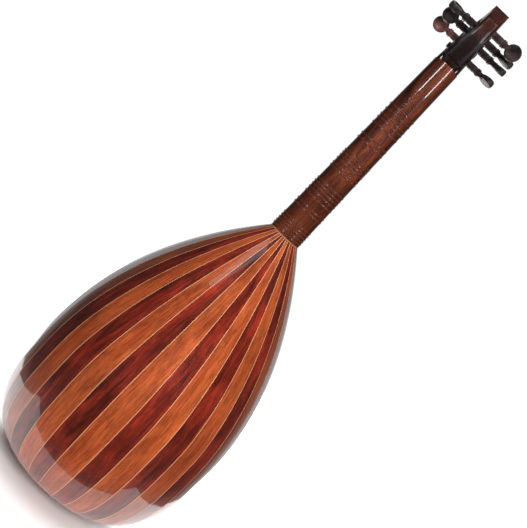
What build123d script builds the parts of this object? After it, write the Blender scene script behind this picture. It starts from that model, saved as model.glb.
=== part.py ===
from build123d import *
import os
from math import atan, cos, hypot, pi, radians, sin

# A seven-string bowl lute with a bent-back pegbox and tied frets.
# Millimetres. X runs across, +Y points out of the back of the bowl, +Z runs up the neck.
# The origin is on the face plane of the bowl, at the middle of the tail.

# ---- bowl of bent staves ----
bowl_length = 463.0          # tail to neck joint
bowl_width = 300.0
bowl_depth = 168.0
widest_height = 154.0        # where the outline is widest
deepest_height = 187.0       # where the back is deepest
tail_squareness = 3.1        # 2 would be an ellipse
plan_fall = 2.09             # power of the outline's fall towards the neck
depth_fall = 1.61            # power of the back's fall towards the neck
section_squareness = 2.15    # cross-sections are superellipses
heel_width = 48.6            # bowl and neck at their joint
heel_depth = 19.0
stave_thickness = 2.8
centre_stave_angle = 10.6    # seen from the line along the middle of the face
next_stave_angle = 9.3       # the staves widen evenly from here to the rim
staves_each_side = 8
purfling_width = 0.8         # light line glued between neighbouring staves
tail_angles = (2.5, 6, 10, 16, 24, 33, 43, 54, 66, 78, 90)
upper_steps = 9

# ---- blocks and cap inside and behind the bowl's ends ----
glue_gap = 0.08
cap_radius = 30.0
tail_block_radius = 44.0
tail_block_height = 20.0
neck_block_length = 62.0
neck_block_steps = 6

# ---- face ----
face_thickness = 2.2         # soundboard and fingerboard lie flush
binding_width = 3.0
brace_heights = (48.0, 92.0, 168.0, 222.0, 338.0, 388.0)
brace_width = 6.0
brace_depth = 13.0
brace_end_gap = 1.2
brace_end_depth = 6.0
sound_hole_radius = 41.0
sound_hole_height = 280.0
rosette_thickness = 1.5
rosette_ring_width = 4.0
rosette_ring_proud = 0.5
rosette_rows = ((6, 9.5, 3.3), (12, 18.5, 3.1), (18, 27.5, 3.0), (24, 34.2, 1.7))
rosette_centre_hole = 3.4

# ---- neck ----
neck_length = 300.0          # neck joint to nut
nut_neck_width = 38.6
nut_neck_depth = 17.5
spacer_thickness = 1.6
tenon_width = 20.0
tenon_depth = 9.0
tenon_length = 24.0
tenon_wall = 4.0             # wood left between the tenon and the face
nut_thickness = 4.5
nut_proud = 1.8
nut_rounding = 1.0
neck_end_margin = 1.2        # neck left above the nut
neck_end_slope = 0.1         # the end rises towards the back of the neck

# ---- tied frets, in groups of fine steps ----
fret_places = (75.5, 84.0, 93.0, 99.0, 108.0, 128.0, 135.5, 159.5, 164.0, 169.0, 174.0, 182.0, 187.0,
               210.5, 216.0, 221.0, 227.0, 234.0, 248.5, 254.5, 274.5, 279.5, 284.5, 289.5, 294.0)  # below the nut
fret_band_width = 3.0
fret_band_thickness = 0.8
fret_fit = 0.06

# ---- strings and bridge ----
scale_length = 640.0         # nut to bridge
nut_string_height = 1.7
bridge_string_height = 7.0
nut_courses = ((-14.2,), (-7.0, -4.2), (2.8, 5.6), (11.4, 14.2))
bridge_courses = ((-33.0,), (-13.6, -9.6), (9.6, 13.6), (29.6, 33.6))
string_radii = (0.55, 0.45, 0.4, 0.35)
bridge_half_length = 46.0
bridge_wing = 17.0
bridge_width = 13.0
bridge_thickness = 9.5
bridge_wing_thickness = 3.0
string_hole_gap = 0.15
string_knot_radius = 1.5
string_bend_radius = 4.0
string_tail = 1.2            # string between the bridge and its knot

# ---- pegbox ----
head_length = 149.0
least_lean = 32.0            # degrees back from the neck's line
extra_lean = 50.0            # more lean where the pegbox leans most
lean_start = -12.0           # where the lean would be least, and next least
lean_end = 184.0
head_root_width = 36.6
head_tip_width = 20.5
head_taper_power = 1.1
head_middle_depth = 24.0
head_swell_length = 30.0
head_tip_depth = 19.0
head_turn_length = 24.0      # sections turn from the neck's end to the centre line over this
head_squareness = 6.0        # reached at the end of the swell
cheek_thickness = 4.0
back_plate_thickness = 3.6
end_block_length = 17.0
cut_margin = 3.0             # how far the cutting shapes run past the pegbox
head_stations = (0.0, 0.05, 0.1, 0.16, 0.24, 0.31, 0.42, 0.53, 0.64, 0.76, 0.88, 1.0)

# ---- pegs ----
peg_spacing = 16.0
first_peg = 24.0
peg_sides = (-1, 1, -1, 1, -1, 1, -1)
peg_rolls = (82, -14, 96, 8, 88, 68, 10)
peg_radius = 4.6             # where the shaft leaves the cheek, head side
peg_taper = 1 / 60           # radius lost for each millimetre of length
peg_running_gap = 0.06
peg_tips = (3.0, 0.8, 0.8, 0.8, 0.8, 0.8, 0.8)
peg_reaches = (14.5, 9.5, 15.5, 10.0, 15.0, 12.0, 14.0)   # cheek to collar
collar_radius = 5.6
collar_length = 4.5
waist_radius = 3.6
waist_length = 3.0
knob_radius = 10.5
knob_thickness = 8.6
knob_sinking = 0.7           # how far the round thumb piece sits over the waist
knob_hollow = 1.7            # depth of the thumb hollow on each side
knob_hollow_share = 0.8      # of the thumb piece's radius
winding_thickness = 0.9
winding_width = 2.4
winding_places = (-9.6, 8.4, -6.0, 4.0, -3.8, 1.2, -1.2)
string_gap = 0.3

nut_height = bowl_length + neck_length
neck_end = nut_height + nut_thickness + neck_end_margin
bridge_height = nut_height - scale_length
peg_count = len(peg_sides)


# ---------------------------------------------------------------- bowl

def bowl_curve(z, peak, peak_height, heel, fall, inset):
    """Half width or depth at a height, for the skin set in from the outside by inset."""
    if z < peak_height:
        drop = (peak_height - z) / (peak_height - inset)
        return (peak - inset) * (1 - drop ** tail_squareness) ** (1 / tail_squareness)
    rise = (z - peak_height) / (bowl_length - peak_height)
    return peak - inset - (peak - heel) * rise ** fall


def half_width(z, inset=0.0):
    return bowl_curve(z, bowl_width / 2, widest_height, heel_width / 2, plan_fall, inset)


def back_depth(z, inset=0.0):
    return bowl_curve(z, bowl_depth, deepest_height, heel_depth, depth_fall, inset)


def bowl_radius(z, angle, inset=0.0):
    """Distance from the body's axis to the skin, at an angle from straight back."""
    power = section_squareness
    across = (abs(sin(radians(angle))) / half_width(z, inset)) ** power
    deep = (abs(cos(radians(angle))) / back_depth(z, inset)) ** power
    return (across + deep) ** (-1 / power)


def skin_point(z, angle, inset=0.0):
    radius = bowl_radius(z, angle, inset)
    return Vector(radius * sin(radians(angle)), radius * cos(radians(angle)), z)


def skin_height(radius, angle, inset):
    """Height at which the tail's skin is this far from the axis."""
    low = inset + 0.001
    high = widest_height
    for _ in range(40):
        middle = (low + high) / 2
        if bowl_radius(middle, angle, inset) < radius:
            low = middle
        else:
            high = middle
    return high


def levels(inset):
    """Heights of the points that a seam passes through."""
    span = widest_height - inset
    tail = [inset + span * (1 - cos(radians(a)) ** (2 / tail_squareness)) for a in tail_angles[:-1]]
    rise = bowl_length - widest_height
    return tail + [widest_height + rise * k / upper_steps for k in range(upper_steps + 1)]


def seam_curve(angle, inset):
    return Spline(*[skin_point(z, angle, inset) for z in levels(inset)])


def seam_face(angle):
    """The cut through the bowl's wall in one plane of the body's axis."""
    outer = seam_curve(angle, 0.0)
    inner = seam_curve(angle, stave_thickness)
    return Face(Wire([outer, Line(outer @ 1, inner @ 1), inner, Line(inner @ 0, outer @ 0)]))


def sideways(angle, distance):
    """A move square to the seam plane at this angle."""
    return Pos(distance * cos(radians(angle)), -distance * sin(radians(angle)), 0)


def seam_angles():
    """Seams from the middle stave to the rim, on the +X side."""
    first = centre_stave_angle / 2
    steps = staves_each_side
    growth = (90 - first - steps * next_stave_angle) / (steps * (steps - 1) / 2)
    return [first + k * next_stave_angle + growth * k * (k - 1) / 2 for k in range(steps + 1)]


def cap_hole():
    return Cylinder(cap_radius, 4 * stave_thickness)


def make_stave(low, high):
    """One stave: flat across, bent along, with room for a purfling line at each inner seam."""
    low_gap = 0.0 if low <= -90 else purfling_width / 2
    high_gap = 0.0 if high >= 90 else purfling_width / 2
    faces = [sideways(low, low_gap) * seam_face(low), sideways(high, -high_gap) * seam_face(high)]
    return loft(faces, ruled=True) - cap_hole()


def make_purfling(angle):
    half = purfling_width / 2
    faces = [sideways(angle, -half) * seam_face(angle), sideways(angle, half) * seam_face(angle)]
    return loft(faces, ruled=True) - cap_hole()


def make_staves():
    right = seam_angles()
    edges = [-a for a in reversed(right)] + right
    parts = {}
    for k in range(len(edges) - 1):
        number = k - staves_each_side
        side = "left" if number > 0 else "right"
        name = "stave_centre" if number == 0 else f"stave_{side}_{abs(number)}"
        parts[name] = make_stave(edges[k], edges[k + 1])
    parts["purfling_lines"] = Compound([make_purfling(a) for a in edges[1:-1]])
    return parts


def back_half():
    """Everything behind the face plane, for cutting round parts to half rounds."""
    size = 2 * bowl_width
    return Pos(0, size / 2, 0) * Box(size, size, size)


def make_tail_cap():
    thickness = skin_height(cap_radius, 0, stave_thickness)
    disc = Pos(0, 0, thickness / 2) * Cylinder(cap_radius, thickness)
    return disc & back_half()


def make_tail_block():
    """Half-round block on the inside of the tail, its underside bedded on the staves."""
    radii = (cap_radius, (cap_radius + tail_block_radius) / 2, tail_block_radius)
    bed = [max(skin_height(r, a, stave_thickness) for a in (0, 45, 90)) + glue_gap for r in radii]
    profile = [(0, bed[0])] + list(zip(radii, bed)) + [(tail_block_radius, tail_block_height)]
    outline = Polyline(*[(r, 0, z) for r, z in profile + [(0, tail_block_height)]], close=True)
    return revolve(make_face(outline), Axis.Z, 360) & back_half()


def block_section(z):
    """Polygon just inside the staves, one side for each stave."""
    angles = seam_angles()
    inset = stave_thickness + glue_gap
    rim = [skin_point(z, a, inset) for a in [-a for a in reversed(angles)] + angles]
    return make_face(Polyline(*rim, close=True))


def tenon_box(gap):
    """The neck's tenon, or its mortise when given a gap."""
    depth = tenon_depth + 2 * gap
    length = tenon_length + gap
    middle_y = tenon_wall + tenon_depth / 2
    return Pos(0, middle_y, bowl_length - length / 2) * Box(tenon_width + 2 * gap, depth, length)


def make_neck_block():
    low = bowl_length - neck_block_length
    heights = [low + neck_block_length * k / neck_block_steps for k in range(neck_block_steps + 1)]
    return loft([block_section(z) for z in heights], ruled=True) - tenon_box(glue_gap)


# ---------------------------------------------------------------- face

def face_outline(inset):
    """The soundboard's outline, from the middle of the tail round to the neck joint."""
    points = [Vector(half_width(z, inset), 0, z) for z in levels(inset)]
    right = Spline(Vector(0, 0, inset), *points, tangents=[(1, 0, 0), points[-1] - points[-2]])
    left = mirror(right, Plane.YZ).edge()
    return Face(Wire([right, Line(right @ 1, left @ 1), left]))


def make_binding():
    ring = face_outline(0.0) - face_outline(binding_width)
    return extrude(ring, face_thickness, dir=(0, -1, 0))


def face_cylinder(radius, low, high):
    """A round bar square to the face at the sound hole, between two depths behind the face plane."""
    bar = Cylinder(radius, high - low, align=(Align.CENTER, Align.CENTER, Align.MIN))
    return Pos(0, low, sound_hole_height) * Rot(-90, 0, 0) * bar


def make_soundboard():
    board = extrude(face_outline(binding_width), face_thickness, dir=(0, -1, 0))
    return board - face_cylinder(sound_hole_radius, -2 * face_thickness, face_thickness)


def make_rosette():
    """Pierced disc set into the sound hole, flush with the back of the soundboard."""
    disc = Circle(sound_hole_radius - rosette_ring_width) - Circle(rosette_centre_hole)
    for count, place, hole in rosette_rows:
        disc -= PolarLocations(place, count, start_angle=180 / count) * Circle(hole)
    flat = extrude(disc, rosette_thickness)
    return Pos(0, -rosette_thickness, sound_hole_height) * Rot(-90, 0, 0) * flat


def make_rosette_ring():
    outside = face_cylinder(sound_hole_radius, -face_thickness - rosette_ring_proud, 0)
    inside = sound_hole_radius - rosette_ring_width
    return outside - face_cylinder(inside, -2 * face_thickness, face_thickness)


def inner_half_width(y, z):
    """Half the room inside the bowl at a depth behind the face."""
    power = section_squareness
    share = (y / back_depth(z, stave_thickness)) ** power
    return half_width(z, stave_thickness) * (1 - share) ** (1 / power)


def make_brace(z):
    """Bar glued across the back of the soundboard, with scooped ends."""
    reach = min(inner_half_width(brace_depth, z + d) for d in (-brace_width / 2, brace_width / 2))
    reach -= brace_end_gap
    scoop = 2 * brace_depth
    outline = Polyline((-reach, 0), (reach, 0), (reach, brace_end_depth), (reach - scoop, brace_depth),
                       (scoop - reach, brace_depth), (-reach, brace_end_depth), close=True)
    bar = extrude(make_face(outline), brace_width / 2, both=True)
    return Pos(0, 0, z) * bar


# ---------------------------------------------------------------- neck

def neck_share(z):
    return (z - bowl_length) / neck_length


def neck_half_width(z):
    return (heel_width + (nut_neck_width - heel_width) * neck_share(z)) / 2


def neck_depth(z):
    return heel_depth + (nut_neck_depth - heel_depth) * neck_share(z)


def round_back(width, depth, squareness, place, front=0.0):
    """Closed section with a flat front and a superellipse back, placed by place(x, depth)."""
    turns = [-90 + 15 * k for k in range(13)]
    points = []
    for turn in turns:
        across = abs(sin(radians(turn))) ** (2 / squareness) * (1 if turn > 0 else -1)
        deep = max(cos(radians(turn)), 0.0) ** (2 / squareness)
        points.append(place(across * width / 2, deep * depth))
    curve = Spline(*points)
    if front == 0.0:
        return Face(Wire([curve, Line(curve @ 1, curve @ 0)]))
    right = place(width / 2, -front)
    left = place(-width / 2, -front)
    return Face(Wire([curve, Line(curve @ 1, right), Line(right, left), Line(left, curve @ 0)]))


def neck_section(z):
    width = 2 * neck_half_width(z)
    return round_back(width, neck_depth(z), section_squareness, lambda x, y: Vector(x, y, z))


def neck_end_cut():
    """Everything beyond the sloping end of the neck."""
    size = 4 * head_root_width
    outline = Polyline((-size, neck_end - size * neck_end_slope), (size, neck_end + size * neck_end_slope),
                       (size, neck_end + 2 * size), (-size, neck_end + 2 * size), close=True)
    return extrude(Plane.YZ * make_face(outline), size, both=True)


def make_neck():
    low = bowl_length + spacer_thickness
    high = neck_end + nut_neck_depth
    shaft = loft([neck_section(low), neck_section(high)], ruled=True) - neck_end_cut()
    tenon = tenon_box(0.0) + Pos(0, 0, spacer_thickness + 1) * tenon_box(0.0)
    return shaft + tenon


def make_spacer():
    """Thin light plate between the end of the bowl and the neck."""
    plate = loft([neck_section(bowl_length), neck_section(bowl_length + spacer_thickness)], ruled=True)
    return plate - Pos(0, 0, tenon_length / 2) * tenon_box(glue_gap)


def make_fingerboard():
    """Tapered plate from the soundboard's edge to the nut."""
    low = neck_half_width(bowl_length)
    high = neck_half_width(nut_height)
    outline = Polyline((-low, 0, bowl_length), (low, 0, bowl_length), (high, 0, nut_height),
                       (-high, 0, nut_height), close=True)
    return extrude(make_face(outline), face_thickness, dir=(0, -1, 0))


def string_run(course, number):
    """Centre points of one string at the bridge and at the nut."""
    bridge = Vector(bridge_courses[course][number], -face_thickness - bridge_string_height, bridge_height)
    nut = Vector(nut_courses[course][number], -face_thickness - nut_string_height, nut_height)
    return bridge, nut


def strings():
    """Every string as its course and its number in the course, across the neck from -X to +X."""
    return [(c, n) for c in range(len(nut_courses)) for n in range(len(nut_courses[c]))]


def rod(start, end, radius):
    """Round bar between two points."""
    return Plane(start, z_dir=end - start) * Cylinder(
        radius, (end - start).length, align=(Align.CENTER, Align.CENTER, Align.MIN))


def string_tube(points, radius):
    """Round string along straight runs joined by tangent arcs."""
    path = FilletPolyline(*points, radius=string_bend_radius)
    return sweep(Plane(path @ 0, z_dir=path % 0) * Circle(radius), path=path)


def nut_exit(course, number):
    """Where a string leaves the nut on the pegbox side."""
    bridge, nut = string_run(course, number)
    return nut + (nut - bridge).normalized() * (nut_thickness / 2)


def make_nut():
    """Bar across the end of the fingerboard, with a half-round slot for each string."""
    depth = face_thickness + nut_proud
    width = 2 * neck_half_width(nut_height + nut_thickness)
    bar = Pos(0, -depth / 2, nut_height + nut_thickness / 2) * Box(width, depth, nut_thickness)
    bar = fillet(bar.edges().filter_by(Axis.X).group_by(Axis.Y)[0], nut_rounding)
    for course, number in strings():
        bridge, nut = string_run(course, number)
        corner, after = string_route(course, number)[:2]
        before = corner - (nut - bridge).normalized() * 2 * nut_thickness
        bar -= string_tube((before, corner, after), string_radii[course] + glue_gap)
    return bar


def fret_band(place):
    """One tied fret: a flat band round the neck and the fingerboard."""
    low = nut_height - place - fret_band_width / 2
    inner = band_outline(low, fret_fit)
    outer = band_outline(low, fret_fit + fret_band_thickness)
    return extrude(outer - inner, fret_band_width, dir=(0, 0, 1))


def band_outline(z, grow):
    width = 2 * (neck_half_width(z) + grow)
    return round_back(width, neck_depth(z) + grow, section_squareness,
                      lambda x, y: Vector(x, y, z), face_thickness + grow)


# ---------------------------------------------------------------- bridge and strings

def make_bridge():
    """Low bar with thin wings, drilled lengthwise of the neck for the strings."""
    end = bridge_half_length + bridge_wing
    top = -face_thickness - bridge_thickness
    wing = -face_thickness - bridge_wing_thickness
    knee = bridge_half_length + bridge_wing / 4
    outline = Polyline((-end, -face_thickness), (end, -face_thickness), (end, wing), (knee, wing),
                       (bridge_half_length, top), (-bridge_half_length, top), (-knee, wing),
                       (-end, wing), close=True)
    bar = extrude(make_face(outline), bridge_width / 2, both=True)
    bar = Pos(0, 0, bridge_height - bridge_width / 2) * bar
    for course, number in strings():
        bridge, nut = string_run(course, number)
        along = (nut - bridge).normalized()
        hole = string_radii[course] + string_hole_gap
        bar -= rod(bridge - along * 2 * bridge_width, bridge + along * bridge_width, hole)
    return bar


def peg_of_string(course, number):
    """The pegs take the strings in order across the pegbox."""
    order = sorted(range(peg_count), key=lambda k: winding_places[k])
    return order[strings().index((course, number))]


def string_route(course, number):
    """The string's path beyond the nut: tight over the windings before its own, in front of them."""
    peg = peg_of_string(course, number)
    start = nut_exit(course, number)
    radius = string_radii[course]
    chain = [(start.Y, start.Z)]
    for k in range(peg + 1):
        room = shaft_radius(k, winding_places[peg]) + winding_thickness + string_gap + radius
        y, z = head_point(peg_place(k), -room)
        while len(chain) > 1 and turns_front(chain[-2], chain[-1], (y, z)):
            chain.pop()
        chain.append((y, z))
    lengths = [0.0]
    for a, b in zip(chain, chain[1:]):
        lengths.append(lengths[-1] + hypot(b[0] - a[0], b[1] - a[1]))
    across = winding_places[peg] - start.X
    return [Vector(start.X + across * s / lengths[-1], y, z) for s, (y, z) in zip(lengths, chain)]


def turns_front(a, b, c):
    """True where the middle point of three lies behind the straight line, so a tight string skips it."""
    return (b[0] - a[0]) * (c[1] - a[1]) - (b[1] - a[1]) * (c[0] - a[0]) >= 0


def make_string(course, number):
    """One string, whole: knot, bridge, nut, and on to its peg."""
    bridge, nut = string_run(course, number)
    knot = bridge - (nut - bridge).normalized() * (bridge_width + string_tail + string_knot_radius)
    route = [knot] + string_route(course, number)
    return string_tube(route, string_radii[course]) + Pos(knot) * Sphere(string_knot_radius)


# ---------------------------------------------------------------- pegbox

def head_lean(s):
    """Lean of the pegbox's centre line back from the neck's line, in degrees."""
    share = (s - lean_start) / (lean_end - lean_start)
    return least_lean + extra_lean * sin(pi * share) ** 2


def head_centre(s):
    """Centre line of the pegbox, s along it from the end of the neck: depth and height."""
    steps = 80
    y = nut_neck_depth / 2
    z = neck_end + neck_end_slope * y
    for k in range(steps):
        lean = radians(head_lean(s * (k + 0.5) / steps))
        y += sin(lean) * s / steps
        z += cos(lean) * s / steps
    return y, z


def back_normal(s):
    """Direction out of the pegbox's back: along the neck's end at the root, then square to the centre line."""
    end = -atan(neck_end_slope)
    share = min(s / head_turn_length, 1.0)
    tilt = end + (radians(head_lean(s)) - end) * share
    return cos(tilt), -sin(tilt)


def head_point(s, n):
    """Depth and height of a point n behind the centre line."""
    y, z = head_centre(s)
    ny, nz = back_normal(s)
    return y + n * ny, z + n * nz


def head_width(s):
    left = 1 - s / head_length
    return head_tip_width + (head_root_width - head_tip_width) * left ** head_taper_power


def head_depth(s):
    if s < head_swell_length:
        return nut_neck_depth + (head_middle_depth - nut_neck_depth) * s / head_swell_length
    share = (s - head_swell_length) / (head_length - head_swell_length)
    return head_middle_depth + (head_tip_depth - head_middle_depth) * share


def head_section(s):
    """Outside of the pegbox: round like the neck at its root, squarer from there on."""
    depth = head_depth(s)
    share = min(s / head_swell_length, 1.0)
    squareness = section_squareness + (head_squareness - section_squareness) * share
    return round_back(head_width(s), depth, squareness,
                      lambda x, d: Vector(x, *head_point(s, d - depth / 2)))


def head_slab(s, half, low, high, shift=0.0):
    """Rectangle across the pegbox, from low to high behind the centre line."""
    corners = [Vector(x, *head_point(s, n)) + Vector(0, 0, shift)
               for x, n in ((-half, low), (half, low), (half, high), (-half, high))]
    return make_face(Polyline(*corners, close=True))


def head_loft(half_room, low, high):
    """Loft of slabs along the pegbox, run past both of its ends."""
    places = [s * head_length for s in head_stations]
    slabs = [head_slab(s, half_room(s), low(s), high(s)) for s in places]
    first = head_slab(0, half_room(0), low(0), high(0), -cut_margin)
    lean = radians(head_lean(head_length))
    last = Pos(0, cut_margin * sin(lean), cut_margin * cos(lean)) * slabs[-1]
    return loft([first] + slabs + [last], ruled=True)


def make_pegbox():
    """Two cheeks, a back plate between them and a block that closes the tip."""
    outside = loft([head_section(s * head_length) for s in head_stations])
    between = head_loft(lambda s: head_width(s) / 2 - cheek_thickness,
                        lambda s: -head_depth(s) / 2 - cut_margin, lambda s: head_depth(s) / 2 + cut_margin)
    behind = head_loft(lambda s: head_width(s) / 2 + cut_margin,
                       lambda s: head_depth(s) / 2 - back_plate_thickness,
                       lambda s: head_depth(s) / 2 + cut_margin)
    cheeks = outside - between
    middle = outside & between
    back = middle & behind
    start = head_length - end_block_length
    lean = radians(head_lean(start))
    cut = Plane((0, *head_centre(start)), z_dir=(0, sin(lean), cos(lean)))
    block = split(middle - behind, bisect_by=cut, keep=Keep.TOP)
    for k in range(peg_count):
        cheeks -= peg_frame(k) * peg_cone(k, peg_running_gap)
    right, left = sorted(cheeks.solids(), key=lambda solid: solid.center().X)
    return {"pegbox_cheek_left": left, "pegbox_cheek_right": right, "pegbox_back": back,
            "pegbox_end_block": block}


# ---------------------------------------------------------------- pegs

def peg_place(k):
    return first_peg + k * peg_spacing


def peg_frame(k):
    """The peg's own frame: on its axis in the middle of the pegbox, +X out through its head."""
    y, z = head_centre(peg_place(k))
    turn = Rot(0, 0, 180) if peg_sides[k] < 0 else Rot(0, 0, 0)
    return Pos(0, y, z) * turn * Rot(peg_rolls[k], 0, 0)


def peg_shoulder(k):
    """Distance from the middle of the pegbox to the outside of the cheek on the head's side."""
    return head_width(peg_place(k)) / 2


def shaft_radius(k, x):
    """Radius of the tapered shaft at a place across the pegbox."""
    return peg_radius - peg_taper * (peg_shoulder(k) - x * peg_sides[k])


def bar_along_x(low, high, low_radius, high_radius):
    if low_radius == high_radius:
        bar = Cylinder(low_radius, high - low, align=(Align.CENTER, Align.CENTER, Align.MIN))
    else:
        bar = Cone(low_radius, high_radius, high - low, align=(Align.CENTER, Align.CENTER, Align.MIN))
    return Pos(low, 0, 0) * Rot(0, 90, 0) * bar


def peg_cone(k, gap):
    """The shaft's cone in the peg's own frame, grown by a gap."""
    shoulder = peg_shoulder(k)
    low = -shoulder - peg_tips[k]
    reach = peg_reaches[k]
    radius = peg_radius + gap
    return bar_along_x(low, shoulder + reach, radius - peg_taper * (shoulder - low), radius + peg_taper * reach)


def make_peg(k):
    """Tapered shaft, turned collar, waist and a round thumb piece hollowed on both sides."""
    collar = peg_shoulder(k) + peg_reaches[k]
    waist = collar + collar_length
    knob = waist + waist_length + knob_radius - knob_sinking
    peg = peg_cone(k, 0.0) + bar_along_x(collar, waist, collar_radius, collar_radius)
    peg += bar_along_x(waist, knob, waist_radius, waist_radius)
    disc = Rot(90, 0, 0) * Cylinder(knob_radius, knob_thickness)
    disc = fillet(disc.edges(), knob_thickness / 4)
    hollow = knob_radius * knob_hollow_share
    ball = (hollow ** 2 + knob_hollow ** 2) / (2 * knob_hollow)
    for side in (-1, 1):
        disc -= Pos(0, side * (knob_thickness / 2 - knob_hollow + ball), 0) * Sphere(ball)
    return peg_frame(k) * (peg + Pos(knob, 0, 0) * disc)


def make_winding(k):
    """The turns of string on a peg, as one sleeve."""
    place = winding_places[k] * peg_sides[k]
    low = place - winding_width / 2
    high = place + winding_width / 2
    radii = [shaft_radius(k, x * peg_sides[k]) + winding_thickness for x in (low, high)]
    return peg_frame(k) * (bar_along_x(low, high, *radii) - peg_cone(k, 0.0))


# ---------------------------------------------------------------- export

def build():
    parts = make_staves()
    parts["tail_cap"] = make_tail_cap()
    parts["tail_block"] = make_tail_block()
    parts["neck_block"] = make_neck_block()
    parts["soundboard"] = make_soundboard()
    parts["edge_binding"] = make_binding()
    parts["rosette"] = make_rosette()
    parts["rosette_ring"] = make_rosette_ring()
    parts["soundboard_braces"] = Compound([make_brace(z) for z in brace_heights])
    parts["neck"] = make_neck()
    parts["joint_spacer"] = make_spacer()
    parts["fingerboard"] = make_fingerboard()
    parts["nut"] = make_nut()
    parts["tied_frets"] = Compound([fret_band(place) for place in fret_places])
    parts["bridge"] = make_bridge()
    parts.update(make_pegbox())
    for k in range(peg_count):
        parts[f"peg_{k + 1}"] = make_peg(k)
        parts[f"winding_{k + 1}"] = make_winding(k)
    for course in range(len(nut_courses)):
        members = [make_string(course, n) for n in range(len(nut_courses[course]))]
        parts[f"string_course_{course + 1}"] = Compound(members)
    return parts


os.makedirs("parts", exist_ok=True)
for name, shape in build().items():
    export_step(shape, f"parts/{name}.step")
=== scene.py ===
import math
import random

import bpy
from mathutils import Matrix, Vector


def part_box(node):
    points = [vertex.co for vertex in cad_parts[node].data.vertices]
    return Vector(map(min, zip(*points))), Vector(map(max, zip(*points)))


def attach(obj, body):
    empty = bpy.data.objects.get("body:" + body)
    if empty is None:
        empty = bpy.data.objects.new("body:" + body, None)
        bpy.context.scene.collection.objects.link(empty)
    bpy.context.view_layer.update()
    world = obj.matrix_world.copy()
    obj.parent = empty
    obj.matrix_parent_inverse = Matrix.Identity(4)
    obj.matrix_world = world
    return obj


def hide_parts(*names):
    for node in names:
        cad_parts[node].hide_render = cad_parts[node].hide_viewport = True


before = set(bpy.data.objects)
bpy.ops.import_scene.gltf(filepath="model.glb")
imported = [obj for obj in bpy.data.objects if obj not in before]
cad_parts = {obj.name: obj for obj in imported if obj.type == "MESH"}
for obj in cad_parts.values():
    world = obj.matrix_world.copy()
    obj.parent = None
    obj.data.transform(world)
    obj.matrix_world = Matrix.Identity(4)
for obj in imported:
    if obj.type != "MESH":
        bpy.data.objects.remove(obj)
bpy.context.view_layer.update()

# ---------------------------------------------------------------- the bowl's shape, as in the CAD
MM = 0.001
TAIL_SQUARENESS = 3.1
PLAN_FALL = 2.09
DEPTH_FALL = 1.61
SECTION_SQUARENESS = 2.15
WIDEST_HEIGHT = 154 * MM
DEEPEST_HEIGHT = 187 * MM
CENTRE_STAVE_ANGLE = 10.6
NEXT_STAVE_ANGLE = 9.3
STAVES_EACH_SIDE = 8
STAVE_THICKNESS = 2.8 * MM
STAVE_CROWN = 0.35 * MM
FULL_CROWN_WIDTH = 28 * MM         # a narrower stave is crowned less
PURFLING_WIDTH = 0.8 * MM
PURFLING_PROUD = 0.05 * MM
CAP_RADIUS = 30 * MM

BOWL_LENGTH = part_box("soundboard")[1].z
BOWL_HALF_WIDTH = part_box("edge_binding")[1].x
BOWL_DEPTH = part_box("stave_centre")[1].y
HEEL_HALF_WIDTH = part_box("joint_spacer")[1].x
HEEL_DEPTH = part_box("joint_spacer")[1].y
FACE_THICKNESS = -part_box("soundboard")[0].y

# ---------------------------------------------------------------- camera
CAMERA_TARGET = Vector((0, 0.040, 0.420))
CAMERA_DISTANCE = 1.247
CAMERA_YAW = math.radians(1.35)
CAMERA_PITCH = math.radians(8.0)
CAMERA_ROLL = math.radians(43.75)
CAMERA_LENS = 64.8
IMAGE_LONG_SIDE = 528
TARGET_OFFSET = (-3.3, -1.6)      # where the target lies from the picture's middle, right and down


def make_camera():
    data = bpy.data.cameras.new("camera")
    data.lens = CAMERA_LENS
    data.sensor_width = 36
    data.clip_end = 50
    data.shift_x = -TARGET_OFFSET[0] / IMAGE_LONG_SIDE
    data.shift_y = TARGET_OFFSET[1] / IMAGE_LONG_SIDE
    camera = bpy.data.objects.new("camera", data)
    bpy.context.scene.collection.objects.link(camera)
    flat = math.cos(CAMERA_PITCH)
    towards = Vector((math.sin(CAMERA_YAW) * flat, math.cos(CAMERA_YAW) * flat,
                      math.sin(CAMERA_PITCH)))
    look = (-towards).to_track_quat("-Z", "Y").to_matrix().to_4x4()
    place = Matrix.Translation(CAMERA_TARGET + towards * CAMERA_DISTANCE)
    camera.matrix_world = place @ look @ Matrix.Rotation(CAMERA_ROLL, 4, "Z")
    bpy.context.scene.camera = camera


# ---------------------------------------------------------------- mesh helpers

def new_mesh(name, verts, faces, grain=None, sharp=35):
    mesh = bpy.data.meshes.new(name)
    mesh.from_pydata(verts, [], faces)
    mesh.update()
    if grain:
        layer = mesh.attributes.new("grain", "FLOAT_VECTOR", "POINT")
        layer.data.foreach_set("vector", [c for g in grain for c in g])
    mesh.polygons.foreach_set("use_smooth", [True] * len(mesh.polygons))
    mesh.set_sharp_from_angle(angle=math.radians(sharp))
    piece = bpy.data.objects.new(name, mesh)
    bpy.context.scene.collection.objects.link(piece)
    return piece


def skin(rings, caps=True):
    """Faces between closed rings of equal length, with end caps."""
    count = len(rings[0])
    verts = [v for ring in rings for v in ring]
    faces = []
    for j in range(len(rings) - 1):
        for i in range(count):
            a = j * count + i
            b = j * count + (i + 1) % count
            faces.append((a, b, b + count, a + count))
    if caps:
        faces.append(tuple(reversed(range(count))))
        faces.append(tuple(range((len(rings) - 1) * count, len(rings) * count)))
    return verts, faces


def join_parts(parts):
    """One vertex and face list from several."""
    verts, faces = [], []
    for part_verts, part_faces in parts:
        start = len(verts)
        verts += part_verts
        faces += [tuple(start + i for i in face) for face in part_faces]
    return verts, faces


# ---------------------------------------------------------------- bowl geometry

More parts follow.
